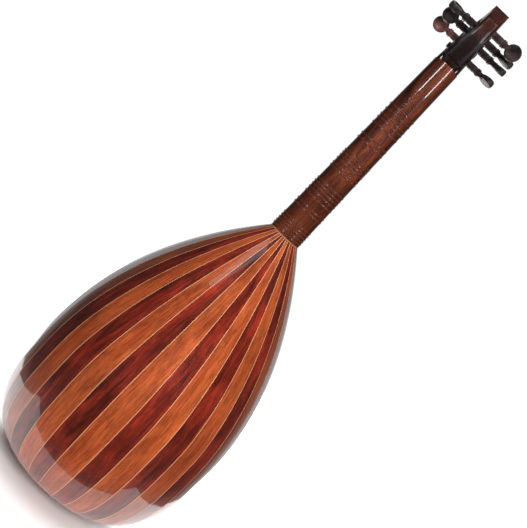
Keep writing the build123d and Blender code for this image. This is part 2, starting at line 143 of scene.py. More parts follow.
def bowl_curve(z, peak, peak_height, heel, fall, inset):
    if z < peak_height:
        drop = min((peak_height - z) / (peak_height - inset), 1.0)
        return (peak - inset) * (1 - drop ** TAIL_SQUARENESS) ** (1 / TAIL_SQUARENESS)
    rise = (z - peak_height) / (BOWL_LENGTH - peak_height)
    return peak - inset - (peak - heel) * rise ** fall


def skin_point(z, angle, inset=0.0):
    half = bowl_curve(z, BOWL_HALF_WIDTH, WIDEST_HEIGHT, HEEL_HALF_WIDTH, PLAN_FALL, inset)
    deep = bowl_curve(z, BOWL_DEPTH, DEEPEST_HEIGHT, HEEL_DEPTH, DEPTH_FALL, inset)
    side = math.sin(math.radians(angle))
    back = math.cos(math.radians(angle))
    power = SECTION_SQUARENESS
    radius = ((abs(side) / half) ** power + (abs(back) / deep) ** power) ** (-1 / power)
    return Vector((radius * side, radius * back, z))


def levels(inset, tail_steps=22, upper_steps=60):
    """Heights from the tail cap's edge to the neck joint, close together round the tail."""
    first = math.asin((CAP_RADIUS / BOWL_HALF_WIDTH) ** (TAIL_SQUARENESS / 2))
    span = WIDEST_HEIGHT - inset
    heights = []
    for k in range(tail_steps):
        turn = first + (math.pi / 2 - first) * k / tail_steps
        heights.append(inset + span * (1 - math.cos(turn) ** (2 / TAIL_SQUARENESS)))
    rise = BOWL_LENGTH - WIDEST_HEIGHT
    return heights + [WIDEST_HEIGHT + rise * k / upper_steps for k in range(upper_steps + 1)]


def seam_angles():
    first = CENTRE_STAVE_ANGLE / 2
    n = STAVES_EACH_SIDE
    growth = (90 - first - n * NEXT_STAVE_ANGLE) / (n * (n - 1) / 2)
    return [first + k * NEXT_STAVE_ANGLE + growth * k * (k - 1) / 2 for k in range(n + 1)]


def across_seam(angle):
    return Vector((math.cos(math.radians(angle)), -math.sin(math.radians(angle)), 0))


def seam_line(angle, inset, shift):
    """Points along one seam, moved square to the seam's plane, from the cap to the neck."""
    points = []
    for k, z in enumerate(levels(inset)):
        point = skin_point(z, angle, inset)
        if k == 0:
            flat = Vector((point.x, point.y, 0)).normalized() * CAP_RADIUS
            point = Vector((flat.x, flat.y, z))
        points.append(point + across_seam(angle) * shift)
    return points


def make_stave(name, low, high, material):
    """A bent board between two seam angles, a little crowned across its width."""
    across = 8
    low_gap = 0 if low <= -90 else PURFLING_WIDTH / 2
    high_gap = 0 if high >= 90 else PURFLING_WIDTH / 2
    outer = (seam_line(low, 0, low_gap), seam_line(high, 0, -high_gap))
    inner = (seam_line(low, STAVE_THICKNESS, low_gap), seam_line(high, STAVE_THICKNESS, -high_gap))
    rings, grain, along = [], [], 0.0
    middle = math.radians((low + high) / 2)
    outward = Vector((math.sin(middle), math.cos(middle), 0))
    for k in range(len(outer[0])):
        if k:
            along += (outer[0][k] - outer[0][k - 1]).length
        width = (outer[1][k] - outer[0][k]).length
        crown = STAVE_CROWN * min(width / FULL_CROWN_WIDTH, 1) ** 2
        ring = []
        for i in range(across + 1):
            u = i / across
            ring.append(outer[0][k].lerp(outer[1][k], u) + outward * crown * 4 * u * (1 - u))
            grain.append(((u - 0.5) * width, along, 0.0))
        for i in range(across + 1):
            u = 1 - i / across
            ring.append(inner[0][k].lerp(inner[1][k], u))
            grain.append(((u - 0.5) * width, along, STAVE_THICKNESS))
        rings.append(ring)
    piece = new_mesh(name + "_wood", *skin(rings), grain)
    finish_piece(piece, material, "instrument", name)
    return piece


def make_purfling(angles, material):
    """One thin strip in each seam, as deep as the staves."""
    parts, grain = [], []
    half = PURFLING_WIDTH / 2
    corners = ((-PURFLING_PROUD, -half), (-PURFLING_PROUD, half), (STAVE_THICKNESS, half),
               (STAVE_THICKNESS, -half))
    for angle in angles:
        sides = [seam_line(angle, inset, shift) for inset, shift in corners]
        rings = [[side[k] for side in sides] for k in range(len(sides[0]))]
        parts.append(skin(rings))
        grain += [(angle * 0.01, v.z, 0.0) for ring in rings for v in ring]
    piece = new_mesh("purfling_strips", *join_parts(parts), grain)
    finish_piece(piece, material, "instrument", "purfling_lines")


# ---------------------------------------------------------------- materials

class Nodes:
    """Small builder for a material's nodes."""

    def __init__(self, name):
        self.material = bpy.data.materials.new(name)
        self.material.use_nodes = True
        self.tree = self.material.node_tree
        self.shader = self.tree.nodes["Principled BSDF"]

    def add(self, kind, values=None, **settings):
        node = self.tree.nodes.new(kind)
        for key, value in settings.items():
            setattr(node, key, value)
        for key, value in (values or {}).items():
            self.put(node, key, value)
        return node

    def put(self, node, key, value):
        if isinstance(value, bpy.types.NodeSocket):
            self.tree.links.new(value, node.inputs[key])
        else:
            node.inputs[key].default_value = value

    def set(self, **values):
        for key, value in values.items():
            self.put(self.shader, key.replace("_", " "), value)

    def grain(self):
        return self.add("ShaderNodeAttribute", attribute_name="grain").outputs["Vector"]

    def place(self):
        return self.add("ShaderNodeTexCoord").outputs["Object"]

    def stretch(self, vector, scale, shift=(0, 0, 0)):
        values = {0: vector, "Location": shift, "Scale": scale}
        return self.add("ShaderNodeMapping", values).outputs[0]

    def noise(self, vector, scale=1.0, detail=4.0, rough=0.55, distortion=0.0):
        values = {"Vector": vector, "Scale": scale, "Detail": detail, "Roughness": rough,
                  "Distortion": distortion}
        return self.add("ShaderNodeTexNoise", values).outputs["Fac"]

    def ramp(self, value, stops):
        node = self.add("ShaderNodeValToRGB", {0: value})
        ramp = node.color_ramp
        while len(ramp.elements) < len(stops):
            ramp.elements.new(0.5)
        for element, (place, colour) in zip(ramp.elements, stops):
            element.position = place
            element.color = (*colour, 1)
        return node.outputs["Color"]

    def mix(self, factor, a, b, blend="MIX"):
        node = self.add("ShaderNodeMix", data_type="RGBA", blend_type=blend)
        self.put(node, 0, factor)
        self.put(node, 6, a if isinstance(a, bpy.types.NodeSocket) else (*a, 1))
        self.put(node, 7, b if isinstance(b, bpy.types.NodeSocket) else (*b, 1))
        return node.outputs[2]

    def math(self, operation, a, b=0.0):
        return self.add("ShaderNodeMath", {0: a, 1: b}, operation=operation).outputs[0]

    def bump(self, height, strength, distance):
        values = {"Height": height, "Strength": strength, "Distance": distance}
        node = self.add("ShaderNodeBump", values)
        self.put(self.shader, "Normal", node.outputs[0])


def grey(v):
    return (v, v, v)


VARNISH_ROUGHNESS = 0.035
FIBRE_DEPTH = 0.2 * MM


def lacquered_wood(name, light, dark, seed, streak, pores, rough=0.4, relief=0.12, vector=None,
                   edge_stain_and_shade=None):
    """Varnished wood: long figure, fine fibre and short dark pores, under a clear coat.

    The edge width, if given, is half the width over which the colour darkens from the middle to
    both sides: partly a darker stain, partly painted shade on the rounded sides.
    """
    n = Nodes(name)
    vector = n.grain() if vector is None else vector(n)
    rng = random.Random(seed)
    shift = (rng.uniform(-9, 9), rng.uniform(-9, 9), rng.uniform(-9, 9))
    figure = n.noise(n.stretch(vector, (95, 11, 95), shift), 1.0, 5.0, 0.62, 0.9)
    fibre = n.noise(n.stretch(vector, (700, 26, 700), shift), 1.0, 4.0, 0.7)
    cloud = n.noise(n.stretch(vector, (30, 15, 30), shift), 1.0, 4.0, 0.6)
    pore = n.noise(n.stretch(vector, (1100, 95, 1100), shift), 1.0, 2.0, 0.6)
    base = n.mix(n.ramp(figure, ((0.36, grey(0)), (0.66, grey(1)))), dark, light)
    clouds = n.ramp(cloud, ((0.34, grey(0.5)), (0.64, grey(1.2))))
    shade = n.mix(streak, grey(1), clouds, "MULTIPLY")
    base = n.mix(1.0, base, shade, "MULTIPLY")
    base = n.mix(0.8, base, n.ramp(fibre, ((0.32, grey(0.55)), (0.60, grey(1.2)))), "MULTIPLY")
    base = n.mix(pores, base, n.ramp(pore, ((0.38, grey(0.2)), (0.47, grey(1)))), "MULTIPLY")
    # painted shade on the rounded sides, partly a darker stain: darker from the middle to both
    # edges
    if edge_stain_and_shade:
        side = n.math("ABSOLUTE", n.add("ShaderNodeSeparateXYZ", {0: vector}).outputs["X"])
        share = n.math("DIVIDE", side, edge_stain_and_shade)
        base = n.mix(1.0, base, n.ramp(share, ((0.25, grey(1)), (0.8, grey(0.28)))), "MULTIPLY")
    n.set(Base_Color=base, Coat_Weight=1.0, Coat_Roughness=VARNISH_ROUGHNESS, Coat_IOR=1.52,
          IOR=1.5)
    n.set(Roughness=n.ramp(fibre, ((0.3, grey(rough + 0.08)), (0.7, grey(rough - 0.06)))))
    n.bump(fibre, relief, FIBRE_DEPTH)
    return n.material


def finish_piece(piece, material, body, node):
    """Gives a new piece its material and its body, and hides the CAD node that it stands for."""
    piece.data.materials.append(material)
    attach(piece, body)
    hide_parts(node)


def paint(node, material):
    """Gives a carried-over CAD node its material."""
    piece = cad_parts[node]
    for k in range(max(len(piece.material_slots), 1)):
        if piece.material_slots:
            piece.material_slots[k].material = material
        else:
            piece.data.materials.append(material)


EVEN_STAVES = 4                    # each side of the middle; those beyond are darker, partly a stain and partly painted shade on the flanks
OUTER_STAVE_STAIN_AND_SHADE = 0.14


def bowl_staves():
    edges = [-a for a in reversed(seam_angles())] + seam_angles()
    for k in range(len(edges) - 1):
        number = k - STAVES_EACH_SIDE
        side = "left" if number > 0 else "right"
        name = f"stave_{side}_{abs(number)}" if number else "stave_centre"
        # darker outer staves: partly a stain, partly painted shade where the flanks turn away from
        # the light
        shade = 1 - OUTER_STAVE_STAIN_AND_SHADE * max(abs(number) - EVEN_STAVES, 0)
        if number % 2 == 0:
            light, dark, streak = (0.57, 0.120, 0.032), (0.35, 0.054, 0.015), 0.6
        else:
            light, dark, streak = (0.38, 0.033, 0.013), (0.085, 0.012, 0.008), 1.0
        light, dark = (tuple(c * shade for c in colour) for colour in (light, dark))
        material = lacquered_wood(name, light, dark, 20 + k, streak, 0.4)
        make_stave(name, edges[k], edges[k + 1], material)
    n = Nodes("purfling")
    tone = n.noise(n.stretch(n.grain(), (40, 60, 40)), 1.0, 3.0)
    n.set(Base_Color=n.ramp(tone, ((0.3, (0.62, 0.30, 0.15)), (0.7, (0.80, 0.45, 0.25)))),
          Coat_Weight=1.0, Coat_Roughness=VARNISH_ROUGHNESS, Roughness=0.4)
    make_purfling(edges[1:-1], n.material)


# ---------------------------------------------------------------- neck and frets
NECK_LENGTH = 300 * MM
NUT_HALF_WIDTH = 19.3 * MM
NUT_DEPTH = 17.5 * MM
SPACER_THICKNESS = 1.6 * MM
NECK_END = 768.7 * MM
NECK_END_SLOPE = 0.1
NECK_GRAIN_WIDTH = 0.06
FRET_PLACES = (75.5, 84.0, 93.0, 99.0, 108.0, 128.0, 135.5, 159.5, 164.0, 169.0, 174.0, 182.0,
               187.0, 210.5, 216.0, 221.0, 227.0, 234.0, 248.5, 254.5, 274.5, 279.5, 284.5, 289.5,
               294.0)               # millimetres below the nut
GUT_RADIUS = 0.27 * MM
GUT_PITCH = 0.62 * MM
GUT_TURNS = 4
GUT_GAP = 0.05 * MM


def neck_size(z):
    share = (z - BOWL_LENGTH) / NECK_LENGTH
    return (HEEL_HALF_WIDTH + (NUT_HALF_WIDTH - HEEL_HALF_WIDTH) * share,
            HEEL_DEPTH + (NUT_DEPTH - HEEL_DEPTH) * share)


def round_back(half, depth, squareness, steps):
    """Points of the round back from -X to +X."""
    points = []
    for k in range(steps + 1):
        turn = math.pi * (k / steps - 0.5)
        across = math.copysign(abs(math.sin(turn)) ** (2 / squareness), turn)
        points.append((across * half, max(math.cos(turn), 0.0) ** (2 / squareness) * depth))
    return points


def make_neck():
    steps, rows = 48, 60
    rings, grain = [], []
    low = BOWL_LENGTH + SPACER_THICKNESS
    for j in range(rows + 1):
        ring = []
        half, depth = neck_size(low + (NECK_END - low) * j / rows)
        for k, (x, y) in enumerate(round_back(half, depth, SECTION_SQUARENESS, steps)):
            z = low + (NECK_END + NECK_END_SLOPE * y - low) * j / rows
            ring.append(Vector((x, y, z)))
            grain.append(((k / steps - 0.5) * NECK_GRAIN_WIDTH, z, y))
        rings.append(ring)
    piece = new_mesh("neck_shaft", *skin(rings), grain)
    # the darker edges are painted shade on the neck's rounded sides, partly a darker stain
    material = lacquered_wood("neck", (0.235, 0.050, 0.018), (0.062, 0.014, 0.009), 5, 1.0, 0.35,
                              rough=0.35, relief=0.02, edge_stain_and_shade=NECK_GRAIN_WIDTH / 2)
    finish_piece(piece, material, "instrument", "neck")
    return piece


def band_loop(z, grow):
    """Closed loop round the neck and fingerboard, a little way off them."""
    half, depth = neck_size(z)
    back = round_back(half + grow, depth + grow, SECTION_SQUARENESS, 40)
    loop = [Vector((x, y, z)) for x, y in back]
    for side in (1, -1):
        for k in range(4):
            turn = math.radians(30 * k) if side > 0 else math.radians(90 - 30 * k)
            x = side * (half + grow * math.cos(turn))
            loop.append(Vector((x, -FACE_THICKNESS - grow * math.sin(turn), z)))
    return loop


def tube(points, radius, up, sides=6, closed=False):
    """Round tube along points, its section turned by a fixed up direction."""
    count = len(points)
    rings = []
    for k, point in enumerate(points):
        before = points[k - 1] if k or closed else point
        after = points[(k + 1) % count] if k < count - 1 or closed else point
        along = (after - before).normalized()
        side = along.cross(up).normalized()
        lift = side.cross(along)
        rings.append([point + (side * math.cos(a) + lift * math.sin(a)) * radius
                      for a in (2 * math.pi * i / sides for i in range(sides))])
    if closed:
        return skin(rings + [rings[0]], caps=False)
    return skin(rings)


def make_frets():
    """Each fret is four turns of gut and a small knot at the treble edge."""
    parts = []
    up = Vector((0, 0, 1))
    for place in FRET_PLACES:
        z = BOWL_LENGTH + NECK_LENGTH - place * MM
        for turn in range(GUT_TURNS):
            height = z + (turn - (GUT_TURNS - 1) / 2) * GUT_PITCH
            parts.append(tube(band_loop(height, GUT_RADIUS + GUT_GAP), GUT_RADIUS, up, closed=True))
        half = neck_size(z)[0]
        knot = [Vector((half + (0.3 + 0.3 * math.sin(2.2 * a)) * MM,
                        0.9 * MM * math.cos(a) + 0.5 * MM,
                        z + 1.2 * MM * math.sin(a * 0.5)))
                for a in (2 * math.pi * i / 16 for i in range(-16, 17))]
        parts.append(tube(knot, GUT_RADIUS, Vector((1, 0, 0))))
    n = Nodes("fret_gut")
    tone = n.noise(n.stretch(n.place(), (300, 300, 900)), 1.0, 2.0)
    n.set(Base_Color=n.ramp(tone, ((0.3, (0.060, 0.016, 0.009)), (0.7, (0.17, 0.042, 0.018)))),
          Roughness=0.3, Coat_Weight=0.8, Coat_Roughness=0.08)
    piece = new_mesh("fret_turns", *join_parts(parts), sharp=80)
    finish_piece(piece, n.material, "instrument", "tied_frets")
    return piece


# ---------------------------------------------------------------- pegs
HEAD_LENGTH = 149 * MM
LEAST_LEAN = 32
EXTRA_LEAN = 50
LEAN_START = -12 * MM
LEAN_END = 184 * MM
HEAD_ROOT_WIDTH = 36.6 * MM
HEAD_TIP_WIDTH = 20.5 * MM
HEAD_TAPER_POWER = 1.1
PEG_SPACING = 16 * MM
FIRST_PEG = 24 * MM
PEG_SIDES = (-1, 1, -1, 1, -1, 1, -1)
PEG_ROLLS = (82, -14, 96, 8, 88, 68, 10)
PEG_RADIUS = 4.6 * MM
PEG_TAPER = 1 / 60
PEG_TIPS = (3.0, 0.8, 0.8, 0.8, 0.8, 0.8, 0.8)
PEG_REACHES = (14.5, 9.5, 15.5, 10.0, 15.0, 12.0, 14.0)
RED_PEG = 1                        # counted from 0, so peg_2
BEAD = ((-0.5, -0.25), (-0.25, 0.12), (0.25, 0.22), (0.75, 0.12), (1.0, -0.25))   # along, out
FIRST_BEAD = 2.4 * MM              # from the cheek
BEADLESS_LENGTH = 4.6 * MM
LONG_REACH = 13                    # a peg that reaches further has one more bead
COLLAR_RADIUS = 5.6 * MM
COLLAR_LENGTH = 4.5 * MM
COLLAR_MOULDING = ((0.0, -0.9), (0.3, -0.2), (0.9, 0.0), (1.5, -0.2), (1.9, -0.9), (2.3, -0.9),
                   (2.7, -0.3), (3.3, -0.1))     # along, out
WAIST_RADIUS = 3.6 * MM
WAIST_LENGTH = 3 * MM
KNOB_RADIUS = 10.5 * MM
KNOB_THICKNESS = 8.6 * MM
KNOB_HOLLOW = 1.7 * MM
KNOB_SINKING = 0.7 * MM
KNOB_FACE = ((0.02, 1.0), (0.25, 0.92), (0.5, 0.62), (0.68, 0.25), (0.78, 0.03))   # out, hollow
KNOB_EDGE = ((0.84, 1.0), (0.90, 0.93), (0.95, 0.74), (0.985, 0.42), (1.0, 0.0))   # out, rim
KNOB_WEDGE = (0.84, 0.20)          # share of the thickness at the middle, and its gain to the tip
WINDING_PLACES = (-9.6, 8.4, -6.0, 4.0, -3.8, 1.2, -1.2)
WINDING_WIDTH = 2.4 * MM
WINDING_STRING = (0.55, 0.35, 0.45, 0.35, 0.45, 0.4, 0.4)
WINDING_GAP = 0.03 * MM


def head_centre(s):
    steps = 80
    y = NUT_DEPTH / 2
    z = NECK_END + NECK_END_SLOPE * y
    for k in range(steps):
        share = (s * (k + 0.5) / steps - LEAN_START) / (LEAN_END - LEAN_START)
        lean = math.radians(LEAST_LEAN + EXTRA_LEAN * math.sin(math.pi * share) ** 2)
        y += math.sin(lean) * s / steps
        z += math.cos(lean) * s / steps
    return y, z


def peg_frame(k):
    y, z = head_centre(FIRST_PEG + k * PEG_SPACING)
    turn = Matrix.Rotation(math.pi if PEG_SIDES[k] < 0 else 0, 4, "Z")
    roll = Matrix.Rotation(math.radians(PEG_ROLLS[k]), 4, "X")
    return Matrix.Translation((0, y, z)) @ turn @ roll


def peg_shoulder(k):
    left = 1 - (FIRST_PEG + k * PEG_SPACING) / HEAD_LENGTH
    return (HEAD_TIP_WIDTH + (HEAD_ROOT_WIDTH - HEAD_TIP_WIDTH) * left ** HEAD_TAPER_POWER) / 2


def lathe(profile, steps=40):
    """Closed round body along X from (place, radius) pairs."""
    return skin([[Vector((x, r * math.cos(a), r * math.sin(a)))
                  for a in (2 * math.pi * i / steps for i in range(steps))] for x, r in profile])


def peg_profile(k):
    """The turned part of a peg: tapered shaft, fine beads, collar mouldings and waist."""
    shoulder = peg_shoulder(k)

    def cone(x):
        return PEG_RADIUS - PEG_TAPER * (shoulder - x)

    low = -shoulder - PEG_TIPS[k] * MM
    reach = PEG_REACHES[k] * MM
    high = shoulder + reach
    points = [(low, cone(low) - 0.8 * MM), (low + 0.25 * MM, cone(low) - 0.3 * MM),
              (low + 0.7 * MM, cone(low)), (shoulder + 1.2 * MM, cone(shoulder + 1.2 * MM))]
    beads = 3 if PEG_REACHES[k] < LONG_REACH else 4
    for b in range(beads):
        x = shoulder + FIRST_BEAD + b * (reach - BEADLESS_LENGTH) / beads
        points += [(x + along * MM, cone(x) + out * MM) for along, out in BEAD]
    points.append((high - 0.3 * MM, cone(high) - 0.3 * MM))
    points += [(high + along * MM, COLLAR_RADIUS + out * MM) for along, out in COLLAR_MOULDING]
    waist = high + COLLAR_LENGTH
    points += [(waist - 0.5 * MM, COLLAR_RADIUS - 0.5 * MM), (waist, WAIST_RADIUS + 0.6 * MM),
               (waist + 1.0 * MM, WAIST_RADIUS), (waist + WAIST_LENGTH, WAIST_RADIUS - 0.1 * MM),
               (waist + WAIST_LENGTH + 4 * MM, WAIST_RADIUS + 0.5 * MM)]
    return points


def knob(centre):
    """Round thumb piece, hollowed on both faces, thinner towards the waist."""
    steps = 44
    rim = KNOB_THICKNESS / 2
    rows = [(share, rim - KNOB_HOLLOW * part) for share, part in KNOB_FACE]
    rows += [(share, rim * part) for share, part in KNOB_EDGE]
    rows += [(share, -height) for share, height in reversed(rows[:-1])]
    rings = []
    for share, height in rows:
        ring = []
        for i in range(steps):
            a = 2 * math.pi * i / steps
            x, z = KNOB_RADIUS * share * math.cos(a), KNOB_RADIUS * share * math.sin(a)
            taper = KNOB_WEDGE[0] + KNOB_WEDGE[1] * x / KNOB_RADIUS
            ring.append(Vector((centre + x, height * taper, z)))
        rings.append(ring)
    return skin(rings)


def make_pegs():
    """Each peg with its thumb piece, and the coil of string that turns with it."""
    dark = peg_wood("peg_dark", (0.055, 0.038, 0.034), (0.014, 0.010, 0.009))
    red = peg_wood("peg_red", (0.27, 0.125, 0.105), (0.12, 0.045, 0.038))
    plain = string_material("winding_plain", (0.62, 0.58, 0.50), False)
    wound = string_material("winding_wound", (0.42, 0.36, 0.28), True)
    for k in range(len(PEG_SIDES)):
        frame_of_peg = peg_frame(k)
        body = f"peg_{k + 1}_turning"
        shoulder = peg_shoulder(k)
        centre = (shoulder + PEG_REACHES[k] * MM + COLLAR_LENGTH + WAIST_LENGTH + KNOB_RADIUS
                  - KNOB_SINKING)
        verts, faces = join_parts([lathe(peg_profile(k)), knob(centre)])
        placed = [frame_of_peg @ v for v in verts]
        piece = new_mesh(f"peg_{k + 1}_turned", placed, faces, [tuple(v) for v in verts], 50)
        finish_piece(piece, red if k == RED_PEG else dark, body, f"peg_{k + 1}")
        radius = WINDING_STRING[k] * MM
        place = WINDING_PLACES[k] * MM * PEG_SIDES[k]
        turns = (WINDING_WIDTH - 2 * radius) / (2.1 * radius)
        steps = int(28 * turns)
        coil = []
        for i in range(steps + 1):
            x = place - WINDING_WIDTH / 2 + radius + (WINDING_WIDTH - 2 * radius) * i / steps
            reach = PEG_RADIUS - PEG_TAPER * (shoulder - x) + radius + WINDING_GAP
            a = 2 * math.pi * turns * i / steps
            coil.append(Vector((x, reach * math.cos(a), reach * math.sin(a))))
        verts, faces = tube(coil, radius, Vector((1, 0, 0)), 8)
        placed = [frame_of_peg @ v for v in verts]
        piece = new_mesh(f"winding_{k + 1}_coil", placed, faces, sharp=80)
        finish_piece(piece, plain if k else wound, body, f"winding_{k + 1}")


def peg_wood(name, light, dark):
    n = Nodes(name)
    fibre = n.noise(n.stretch(n.grain(), (60, 900, 900)), 1.0, 4.0, 0.6)
    cloud = n.noise(n.stretch(n.grain(), (120, 120, 120)), 1.0, 2.0)
    base = n.mix(n.ramp(cloud, ((0.35, grey(0)), (0.65, grey(1)))), dark, light)
    base = n.mix(0.6, base, n.ramp(fibre, ((0.32, grey(0.5)), (0.6, grey(1.2)))), "MULTIPLY")
    n.set(Base_Color=base, Coat_Weight=1.0, Coat_Roughness=0.18,
          Roughness=n.ramp(fibre, ((0.3, grey(0.45)), (0.7, grey(0.3)))))
    n.bump(fibre, 0.15, FIBRE_DEPTH)
    return n.material


def string_material(name, colour, wound):
    """Plain clear string, or one overspun with fine wire."""
    n = Nodes(name)
    tone = n.noise(n.stretch(n.place(), (200, 200, 60)), 1.0, 2.0)
    dim = tuple(c * 0.8 for c in colour)
    n.set(Base_Color=n.ramp(tone, ((0.3, dim), (0.7, colour))))
    if wound:
        values = {"Vector": n.place(), "Scale": 900.0}
        wave = n.add("ShaderNodeTexWave", values, bands_direction="Z")
        n.bump(wave.outputs["Fac"], 0.6, FIBRE_DEPTH)
        n.set(Metallic=0.85, Roughness=0.35)
    else:
        n.set(Roughness=0.25, Transmission_Weight=0.15)
    return n.material


# ---------------------------------------------------------------- carried-over CAD nodes

def turned(order):
    """Object coordinates with the axis in the middle of order taken as the grain."""
    def vector(n):
        split = n.add("ShaderNodeSeparateXYZ", {0: n.place()})
        values = {k: split.outputs[axis] for k, axis in enumerate(order)}
        return n.add("ShaderNodeCombineXYZ", values).outputs[0]
    return vector


def spruce():
    """Fine straight lines up the board, a little uneven, under a thin satin finish."""
    n = Nodes("spruce")
    place = n.place()
    wander = n.noise(n.stretch(place, (14, 14, 2.2)), 1.0, 2.0)
    split = n.add("ShaderNodeSeparateXYZ", {0: place})
    across = n.math("ADD", split.outputs["X"], n.math("MULTIPLY", wander, 0.006))
    lines = n.math("FRACT", n.math("MULTIPLY", n.math("ABSOLUTE", across), 620.0))
    fine = n.noise(n.stretch(place, (1800, 1800, 24)), 1.0, 3.0, 0.6)
    silk = n.noise(n.stretch(place, (60, 60, 260)), 1.0, 2.0, 0.5)
    base = n.ramp(lines, ((0.0, (0.50, 0.27, 0.10)), (0.12, (0.78, 0.53, 0.27)),
                          (0.8, (0.74, 0.47, 0.22)), (1.0, (0.46, 0.24, 0.09))))
    base = n.mix(0.35, base, n.ramp(fine, ((0.3, grey(0.75)), (0.65, grey(1.1)))), "MULTIPLY")
    base = n.mix(0.3, base, n.ramp(silk, ((0.35, grey(0.88)), (0.62, grey(1.08)))), "MULTIPLY")
    n.set(Base_Color=base, Coat_Weight=0.3, Coat_Roughness=0.2,
          Roughness=n.ramp(fine, ((0.3, grey(0.42)), (0.7, grey(0.34)))))
    n.bump(lines, 0.05, 0.0001)
    return n.material


# depths where the nearly black part, partly dark wood and partly painted shade, gives way to
# red-brown
PEGBOX_BLACK_AND_SHADE_END = 0.100
PEGBOX_RED_START = 0.109


def pegbox_wood(name):
    """Nearly black where the pegbox leans back, partly a dark wood and partly painted shade on the
    face that leans away from the light; red-brown towards its tip.
    """
    n = Nodes(name)
    place = n.place()
    fibre = n.noise(n.stretch(place, (700, 20, 700)), 1.0, 4.0, 0.6)
    figure = n.noise(n.stretch(place, (90, 22, 90)), 1.0, 3.0, 0.5)
    depth = n.add("ShaderNodeSeparateXYZ", {0: place}).outputs["Y"]
    wander = n.math("ADD", depth, n.math("MULTIPLY", figure, 0.008))
    values = {"Value": wander, "From Min": PEGBOX_BLACK_AND_SHADE_END, "From Max": PEGBOX_RED_START}
    place_ramp = n.add("ShaderNodeMapRange", values)
    share = n.ramp(figure, ((0.35, grey(0)), (0.65, grey(1))))
    red = n.mix(share, (0.038, 0.010, 0.008), (0.105, 0.024, 0.016))
    # nearly black: partly dark wood, partly painted shade where the pegbox leans back
    black_and_shade = n.mix(share, (0.008, 0.005, 0.005), (0.022, 0.010, 0.008))
    base = n.mix(place_ramp.outputs[0], black_and_shade, red)
    base = n.mix(0.5, base, n.ramp(fibre, ((0.3, grey(0.6)), (0.62, grey(1.15)))), "MULTIPLY")
    shine = n.ramp(place_ramp.outputs[0], ((0.0, grey(0.12)), (1.0, grey(0.9))))
    n.set(Base_Color=base, Coat_Weight=shine, Coat_Roughness=0.08, Specular_IOR_Level=0.3,
          Roughness=n.ramp(fibre, ((0.3, grey(0.55)), (0.7, grey(0.45)))))
    n.bump(fibre, 0.1, FIBRE_DEPTH)
    return n.material


def plain_wood(name, light, dark, rough, coat, vector, scale=1.0):
    n = Nodes(name)
    where = vector(n)
    fibre = n.noise(n.stretch(where, (700 * scale, 22 * scale, 700 * scale)), 1.0, 4.0, 0.6)
    figure = n.noise(n.stretch(where, (80 * scale, 10 * scale, 80 * scale)), 1.0, 3.0, 0.5, 0.4)
    base = n.mix(n.ramp(figure, ((0.34, grey(0)), (0.66, grey(1)))), dark, light)
    base = n.mix(0.45, base, n.ramp(fibre, ((0.3, grey(0.6)), (0.62, grey(1.15)))), "MULTIPLY")
    n.set(Base_Color=base, Coat_Weight=coat, Coat_Roughness=0.12,
          Roughness=n.ramp(fibre, ((0.3, grey(rough + 0.06)), (0.7, grey(rough - 0.04)))))
    n.bump(fibre, 0.1, FIBRE_DEPTH)
    return n.material


def carried_over():
    """Materials for the CAD nodes that are shown as they are."""
    up = turned("XZY")
    across = turned("YXZ")
    paint("soundboard", spruce())
    paint("tail_cap", lacquered_wood("tail_cap", (0.22, 0.022, 0.010), (0.055, 0.007, 0.006), 3,
                                     0.8, 0.3, vector=across))
    for nodes, *recipe in (
            (("tail_block", "neck_block", "soundboard_braces"),
             "inside_wood", (0.68, 0.47, 0.25), (0.55, 0.34, 0.16), 0.7, 0.0, across),
            (("edge_binding", "rosette_ring"),
             "dark_trim", (0.040, 0.016, 0.010), (0.018, 0.008, 0.006), 0.35, 0.6, up),
            (("rosette",),
             "rosette_wood", (0.30, 0.115, 0.045), (0.18, 0.060, 0.022), 0.45, 0.2, up, 2.0),
            (("bridge",),
             "bridge_wood", (0.085, 0.026, 0.013), (0.035, 0.011, 0.007), 0.38, 0.4, across),
            (("fingerboard",),
             "fingerboard_wood", (0.020, 0.014, 0.012), (0.009, 0.007, 0.007), 0.36, 0.3, up),
            (("joint_spacer",),
             "spacer", (0.55, 0.33, 0.16), (0.22, 0.11, 0.05), 0.4, 1.0, across),
            (("pegbox_end_block",),
             "end_block", (0.045, 0.017, 0.012), (0.022, 0.010, 0.008), 0.38, 0.6, across)):
        material = plain_wood(*recipe)
        for node in nodes:
            paint(node, material)
    bone = Nodes("bone")
    cloud = bone.noise(bone.stretch(bone.place(), (120, 240, 240)), 1.0, 3.0)
    bone.set(Base_Color=bone.ramp(cloud, ((0.3, (0.66, 0.58, 0.42)), (0.7, (0.80, 0.74, 0.60)))),
             Roughness=0.3, Subsurface_Weight=0.15, Subsurface_Radius=(0.003, 0.002, 0.001))
    paint("nut", bone.material)
    pegbox = pegbox_wood("pegbox")
    for node in ("pegbox_cheek_left", "pegbox_cheek_right", "pegbox_back"):
        paint(node, pegbox)
    paint("string_course_1", string_material("string_wound", (0.42, 0.36, 0.28), True))
    plain = string_material("string_plain", (0.72, 0.69, 0.60), False)
    for course in (2, 3, 4):
        paint(f"string_course_{course}", plain)


# ---------------------------------------------------------------- stage

FLOOR_SIDE = 0.28
FLOOR_BACK = -1.2
FLOOR_FRONT = 0.20
FLOOR_HEIGHT = -0.001
FLOOR_TONES = (0.82, 0.85)
BACKGROUND_LIGHT = 1.05
WALL_DIRECTIONS = (-0.86, -0.70)   # Y of the direction where the wall is whole, and where it ends
WALL_LIGHT = 0.6
ROOM_LIGHT = 0.04
WALL_HELD_BACK = 0.85              # share of the wall's light that doesn't reach the wood itself


